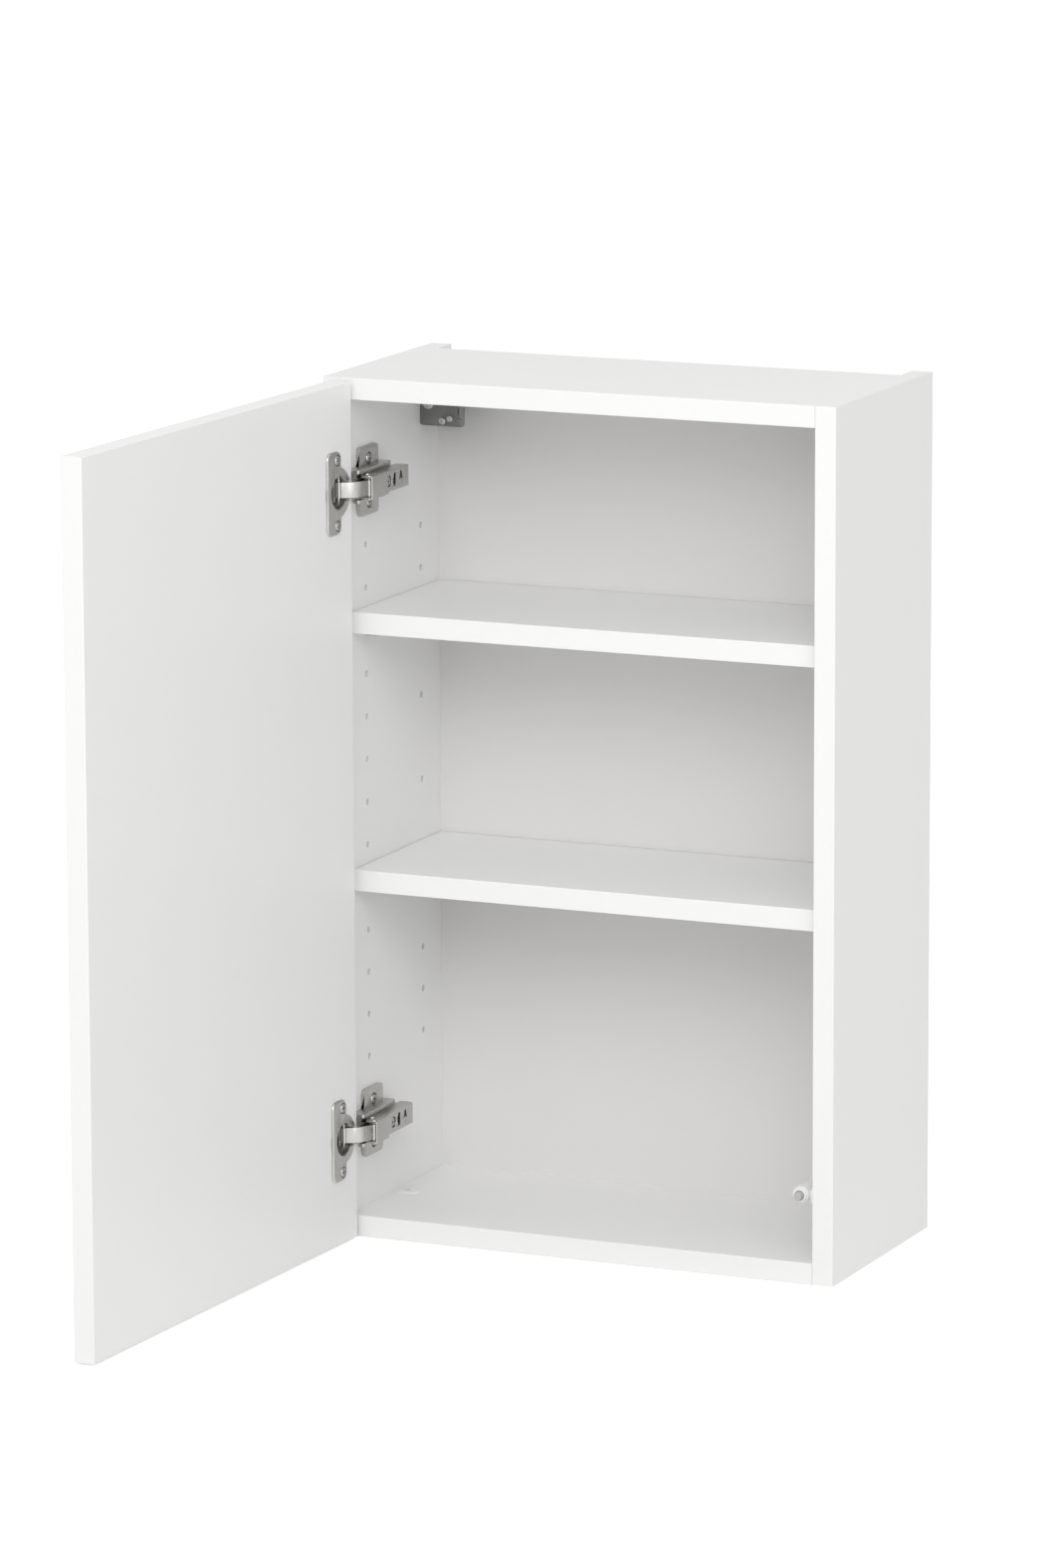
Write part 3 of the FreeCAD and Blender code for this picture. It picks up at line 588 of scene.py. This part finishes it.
HINGE_PIECES = (
    (mounting_plate, "cabinet", "nickel_steel", ("{}_hinge_plate",)),
    (hinge_arm, "cabinet", "nickel_steel", ("{}_hinge_arm",)),
    (pin_heads, "cabinet", "hinge_screw_steel", ()),
    (arm_screws, "cabinet", "hinge_screw_steel", ("{}_hinge_adjusting_screws",)),
    (wing_screws, "cabinet", "hinge_screw_steel", ("{}_hinge_plate_screws",)),
    (link_strap, "hinge_outer_links", "nickel_steel", ("{}_hinge_outer_link",)),
    (hinge_cup, "door", "nickel_steel", ("{}_hinge_cup",)),
    (cup_screws, "door", "hinge_screw_steel", ("{}_hinge_cup_screws",)),
)


class CABINET_OT_hinges(bpy.types.Operator):
    """Model one concealed hinge and set a copy at the other height"""
    bl_idname = "cabinet.hinges"
    bl_label = "Hinges"

    def execute(self, context):
        down = Matrix.Translation(Z * (LOWER_Z - UPPER_Z))
        for make, body, slot, nodes in HINGE_PIECES:
            upper = make()
            lower = duplicate(upper, upper.name.replace("upper", "lower"), down)
            for obj, height in ((upper, "upper"), (lower, "lower")):
                finish_piece(obj, body, slot, material_for(slot), *[node.format(height) for node in nodes])
        return {"FINISHED"}


# ---------------------------------------------------------------- hangers

HANGER_LOW, HANGER_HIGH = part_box("left_hanger_housing")


def hanger_point(reach, depth, height):
    """Out from the side, back from the housing's front face, and up from its lower edge."""
    return Vector((HANGER_LOW.x + reach * MM, HANGER_LOW.y + depth * MM, HANGER_LOW.z + height * MM))


def hanger_housing():
    """Folded sheet housing: a front plate with a long slot, and two walls running back."""
    width = (HANGER_HIGH.x - HANGER_LOW.x) / MM
    rise = (HANGER_HIGH.z - HANGER_LOW.z) / MM
    depth = (HANGER_HIGH.y - HANGER_LOW.y) / MM
    sheet = 1.4

    def plate(name, reach, back, height):
        low, high = hanger_point(reach[0], back[0], height[0]), hanger_point(reach[1], back[1], height[1])
        return block(name, (low.x, high.x), (low.y, high.y), (low.z, high.z))

    body = plate("left_hanger_housing_piece", (0, width), (0, sheet), (0, rise))
    round_edges(body, 2.4 * MM, lambda m, d: along(d, Y) and m.z < HANGER_LOW.z + MM, segments=5)
    weld(body, plate("side_wall", (0, sheet), (0.4, depth), (0.6, rise)))
    weld(body, plate("inner_wall", (19.6, 21.0), (0.4, depth), (0.6, rise)))
    cut(body, plate("slot", (30.0, 32.0), (-2, 4), (9, 26)))
    cut(body, drum("screw_hole", hanger_point(18.2, -2, 3.8), Y, 2.0 * MM, 6 * MM))
    # a long pressed bead stiffens the plate beside the slot
    bead = plate("bead", (28.0, 34.0), (-0.7, 0.6), (6.0, 30.0))
    round_edges(bead, 1.0 * MM, lambda m, d: along(d, Y) or close_to(m.y, HANGER_LOW.y - 0.7 * MM))
    cut(bead, plate("bead_slot", (30.0, 32.0), (-2, 4), (9, 26)))
    weld(body, bead)
    return soften(body, 0.3 * MM)


def hanger_front_screws():
    """The depth screw, with its large head, and the height and lock screws under it."""
    places = ((7.3, 16.6, 4.5, 2.2, 2.7), (18.2, 3.8, 2.7, 1.4, 1.5), (24.2, 5.8, 2.4, 1.0, 1.3))
    heads = [pan_head("hanger_screw", hanger_point(reach, 0, up), -Y, r * MM, h * MM, arm * MM)
             for reach, up, r, h, arm in places]
    return joined("left_hanger_front_screws", heads)


HANGER_PIECES = (
    (hanger_housing, "hanger_steel", "{}_hanger_housing"),
    (hanger_front_screws, "zinc_steel", "{}_hanger_adjusting_screws"),
)


class CABINET_OT_hangers(bpy.types.Operator):
    """Model the left hanger and mirror it to the right"""
    bl_idname = "cabinet.hangers"
    bl_label = "Hangers"

    def execute(self, context):
        across = Matrix.Scale(-1, 4, X)
        for make, slot, node in HANGER_PIECES:
            left = make()
            right = duplicate(left, left.name.replace("left", "right"), across)
            for obj, side in ((left, "left"), (right, "right")):
                finish_piece(obj, "cabinet", slot, material_for(slot), node.format(side))
        return {"FINISHED"}


# ---------------------------------------------------------------- damper

DAMPER_LOW, DAMPER_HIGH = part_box("damper_cylinder")
DAMPER_AXIS = Vector(((DAMPER_LOW.x + DAMPER_HIGH.x) / 2, 0, (DAMPER_LOW.z + DAMPER_HIGH.z) / 2))
DAMPER_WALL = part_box("damper_holder")[1].x


def damper_point(x, y, z):
    """In from the right side, back from the front edge, and above the damper's axis."""
    return Vector((DAMPER_WALL - x * MM, FRONT_Y + y * MM, DAMPER_AXIS.z + z * MM))


def damper_block(name, x, y, z):
    low, high = damper_point(x[0], y[0], z[0]), damper_point(x[1], y[1], z[1])
    return block(name, (low.x, high.x), (low.y, high.y), (low.z, high.z))


def damper_holder():
    """Moulded holder: a screwed foot, a neck, and a tube that grips the cylinder."""
    foot = damper_block("damper_holder_piece", (0, 2.8), (5, 52), (-5.5, 5.5))
    ears = damper_block("ears", (0, 2.8), (28, 50), (-13, 13))
    round_edges(ears, 3 * MM, lambda m, d: along(d, X), segments=5)
    neck = damper_block("neck", (1, 9.5), (8, 46), (-2.8, 2.8))
    tube = drum("tube", Vector((DAMPER_AXIS.x, FRONT_Y + 5.5 * MM, DAMPER_AXIS.z)), Y, 6.1 * MM, 42.5 * MM, sides=64)
    weld(foot, ears, neck, tube)
    cut(foot, drum("seat", Vector((DAMPER_AXIS.x, FRONT_Y, DAMPER_AXIS.z)), Y, 5.15 * MM, 60 * MM, sides=64))
    for y, z in ((33, 8.5), (45, -8.5)):
        cut(foot, drum("screw_seat", damper_point(1.2, y, z), -X, 1.8 * MM, 2.0 * MM, tip_radius=3.6 * MM))
    return soften(foot, 0.4 * MM)


def damper_cylinder():
    """Moulded cylinder, held in the holder, with a turned-in collar around the plunger."""
    start = Vector((DAMPER_AXIS.x, DAMPER_LOW.y, DAMPER_AXIS.z))
    length = DAMPER_HIGH.y - DAMPER_LOW.y
    body = drum("damper_cylinder_piece", start, Y, 5.1 * MM, length, sides=64)
    round_edges(body, 0.9 * MM, lambda m, d: close_to(m.y, DAMPER_LOW.y), segments=5)
    cut(body, drum("bore", start - Y * 2 * MM, Y, 3.55 * MM, length, sides=48))
    return soften(body, 0.25 * MM)


def damper_plunger():
    """The plunger, with a chamfered six-sided tip."""
    low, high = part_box("damper_plunger")
    start = Vector((DAMPER_AXIS.x, low.y + 3.5 * MM, DAMPER_AXIS.z))
    rod = drum("damper_plunger_piece", start, Y, 3.2 * MM, high.y - start.y, sides=48)
    tip = drum("tip", Vector((start.x, low.y, start.z)), Y, 3.35 * MM, 5 * MM, sides=6)
    round_edges(tip, 0.7 * MM, lambda m, d: close_to(m.y, low.y), segments=3)
    weld(rod, tip)
    return soften(rod, 0.2 * MM)


class CABINET_OT_damper(bpy.types.Operator):
    """Model the door damper on the right side"""
    bl_idname = "cabinet.damper"
    bl_label = "Door damper"

    def execute(self, context):
        pieces = ((damper_holder, "cabinet", "white_plastic", "damper_holder"),
                  (damper_cylinder, "cabinet", "white_plastic", "damper_cylinder"),
                  (damper_plunger, "damper_piston", "grey_plastic", "damper_plunger"))
        for make, body, slot, node in pieces:
            finish_piece(make(), body, slot, material_for(slot), node)
        return {"FINISHED"}


# ---------------------------------------------------------------- connectors

class CABINET_OT_connectors(bpy.types.Operator):
    """Model one cam connector cover and set the other three"""
    bl_idname = "cabinet.connectors"
    bl_label = "Connectors"

    def execute(self, context):
        floor_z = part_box("bottom_panel")[1].z
        ceiling_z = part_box("top_panel")[0].z
        node_low, node_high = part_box("connector_housings")
        middle_y = (node_low.y + node_high.y) / 2
        centre = Vector((SIDE_X + 9.5 * MM, middle_y, floor_z))
        cover = drum("connector", centre - Z * 12 * MM, Z, 9.4 * MM, 12 * MM, sides=64)
        rim = drum("connector_rim", centre, Z, 10 * MM, 0.6 * MM, sides=64)
        round_edges(rim, 0.4 * MM, lambda m, d: close_to(m.z, floor_z + 0.6 * MM) and
                    (Vector((m.x, m.y, centre.z)) - centre).length > 9 * MM, segments=3)
        weld(cover, rim)
        cut(cover, block("side_face", (SIDE_X - 20 * MM, SIDE_X), (middle_y - 0.1, middle_y + 0.1),
                         (floor_z - 0.1, floor_z + 0.1)))
        cross_cut(cover, centre + Z * 0.6 * MM, Z, 3.6 * MM, 3 * MM)
        flip = Matrix.Translation(Z * (floor_z + ceiling_z)) @ Matrix.Scale(-1, 4, Z)
        across = Matrix.Scale(-1, 4, X)
        covers = [cover]
        for matrix in (across, flip, across @ flip):
            covers.append(duplicate(cover, "connector_copy", matrix))
        piece = joined("connector_covers", covers)
        finish_piece(piece, "cabinet", "connector_white", material_for("connector_white"), "connector_housings")
        return {"FINISHED"}


# ---------------------------------------------------------------- finishes

MATERIALS = {}


def material_for(slot):
    return MATERIALS[slot]


class CABINET_OT_finishes(bpy.types.Operator):
    """Make every finish and give it to the pieces that the construction keeps"""
    bl_idname = "cabinet.finishes"
    bl_label = "Finishes"

    def execute(self, context):
        colours, grain = finishes(), sizes().metal_grain
        MATERIALS.update({
            "melamine_board": melamine_board(sizes().board_grain),
            "edge_band": edge_band(),
            "back_board": back_board(),
            "dowel_wood": beech(),
            "connector_white": moulded_plastic("white_connector_cover", colours.plastic, 0.4),
            "zinc_steel": plated_steel("bright_zinc_plated_steel", colours.zinc, 0.2, 0.34, 0.9, grain),
            "nickel_steel": plated_steel("nickel_plated_pressed_steel", colours.nickel, 0.24, 0.38, 0.93, grain),
            "hinge_screw_steel": plated_steel("nickel_plated_screws", colours.nickel, 0.16, 0.28, 0.92, grain),
            "hanger_steel": plated_steel("dark_passivated_steel", colours.hanger, 0.4, 0.55, 0.9, 2 * grain),
            "white_plastic": moulded_plastic("white_moulded_nylon", colours.plastic, 0.38),
            "grey_plastic": moulded_plastic("grey_moulded_plunger", colours.plunger, 0.42),
        })
        for part in frame["record"]["subparts"]:
            node = NODES[part["node"]]
            node.data.materials.clear()
            node.data.materials.append(material_for(part["material_slot"]))
        return {"FINISHED"}


# ---------------------------------------------------------------- stage

def studio_world():
    """Even white light, and a plain white surround where the camera or a reflection sees it."""
    world = bpy.data.worlds.new("studio")
    bpy.context.scene.world = world
    world.use_nodes = True
    tree = world.node_tree
    tree.nodes.clear()
    path = add_node(tree, "ShaderNodeLightPath")
    glossy = add_node(tree, "ShaderNodeMath", {0: path.outputs["Is Camera Ray"], 1: path.outputs["Is Glossy Ray"]},
                      operation="ADD", use_clamp=True)
    seen = add_node(tree, "ShaderNodeMath", {0: glossy.outputs[0], 1: path.outputs["Is Transmission Ray"]},
                    operation="ADD", use_clamp=True)
    light = add_node(tree, "ShaderNodeBackground", {"Color": (1, 1, 1, 1), "Strength": 0.68})
    white = add_node(tree, "ShaderNodeBackground", {"Color": (1, 1, 1, 1), "Strength": 1.0})
    mix = add_node(tree, "ShaderNodeMixShader", {0: seen.outputs[0], 1: light.outputs[0], 2: white.outputs[0]})
    add_node(tree, "ShaderNodeOutputWorld", {"Surface": mix.outputs[0]})


def floor_material():
    """Matt white floor that the camera sees as white, with the object's shadow kept."""
    material = bpy.data.materials.new("studio_floor")
    material.use_nodes = True
    tree = material.node_tree
    tree.nodes.clear()
    path = add_node(tree, "ShaderNodeLightPath")
    seen = add_node(tree, "ShaderNodeMath", {0: path.outputs["Is Camera Ray"], 1: path.outputs["Is Glossy Ray"]},
                    operation="ADD", use_clamp=True)
    matt = add_node(tree, "ShaderNodeBsdfDiffuse", {"Color": (0.8, 0.8, 0.8, 1)})
    glow = add_node(tree, "ShaderNodeEmission", {"Color": (1, 1, 1, 1), "Strength": 0.52})
    both = add_node(tree, "ShaderNodeAddShader", {0: matt.outputs[0], 1: glow.outputs[0]})
    mix = add_node(tree, "ShaderNodeMixShader", {0: seen.outputs[0], 1: matt.outputs[0], 2: both.outputs[0]})
    add_node(tree, "ShaderNodeOutputMaterial", {"Surface": mix.outputs[0]})
    return material


def soft_lamp(name, place, aim, size, power):
    nothing_selected()
    bpy.ops.object.light_add(type="AREA", location=place)
    lamp = bpy.context.object
    lamp.name = name
    lamp.data.shape = "DISK"
    lamp.data.size = size
    lamp.data.energy = power
    lamp.rotation_euler = (Vector(aim) - Vector(place)).to_track_quat("-Z", "Y").to_euler()
    return lamp


class CABINET_OT_stage(bpy.types.Operator):
    """Set the floor, the soft light and the camera"""
    bl_idname = "cabinet.stage"
    bl_label = "Stage"

    def execute(self, context):
        context.scene.view_settings.view_transform = "Standard"
        studio_world()
        nothing_selected()
        bpy.ops.mesh.primitive_plane_add(size=80, location=(0, 0, 0))
        floor = bpy.context.object
        floor.name = "studio_floor"
        floor.data.materials.append(floor_material())
        middle = (CAD_BOX[0] + CAD_BOX[1]) / 2
        soft_lamp("key_lamp", (0.8, -3.3, 2.5), middle, 2.4, 50)
        soft_lamp("fill_lamp", (2.4, -2.6, 1.6), middle, 2.4, 15)
        bpy.ops.object.camera_add(location=(2.2411, -5.3218, 1.4567), rotation=(1.37642, 0.003656, 0.418003))
        camera = bpy.context.object
        camera.data.sensor_width = 36
        camera.data.lens = 181.64
        camera.data.clip_end = 200
        context.scene.camera = camera
        return {"FINISHED"}


# ---------------------------------------------------------------- panel and registration

STEPS = (CABINET_OT_finishes, CABINET_OT_hinges, CABINET_OT_hangers, CABINET_OT_damper,
         CABINET_OT_connectors, CABINET_OT_stage)


class CABINET_PT_parts(bpy.types.Panel):
    """The cabinet's steps and settings in the sidebar"""
    bl_idname = "CABINET_PT_parts"
    bl_label = "Wall cabinet"
    bl_space_type = "VIEW_3D"
    bl_region_type = "UI"
    bl_category = "Wall cabinet"

    def draw(self, context):
        for step in STEPS:
            self.layout.operator(step.bl_idname)
        for group in (context.scene.cabinet_sizes, context.scene.cabinet_finishes):
            for name in group.__annotations__:
                self.layout.prop(group, name)


CLASSES = (CabinetFinishes, CabinetSizes, *STEPS, CABINET_PT_parts)


def register():
    for cls in CLASSES:
        bpy.utils.register_class(cls)
    bpy.types.Scene.cabinet_finishes = PointerProperty(type=CabinetFinishes)
    bpy.types.Scene.cabinet_sizes = PointerProperty(type=CabinetSizes)


def unregister():
    del bpy.types.Scene.cabinet_sizes
    del bpy.types.Scene.cabinet_finishes
    for cls in reversed(CLASSES):
        bpy.utils.unregister_class(cls)


def main():
    register()
    bpy.ops.cabinet.finishes()
    bpy.ops.cabinet.hinges()
    bpy.ops.cabinet.hangers()
    bpy.ops.cabinet.damper()
    bpy.ops.cabinet.connectors()
    bpy.ops.cabinet.stage()


if __name__ == "__main__":
    main()
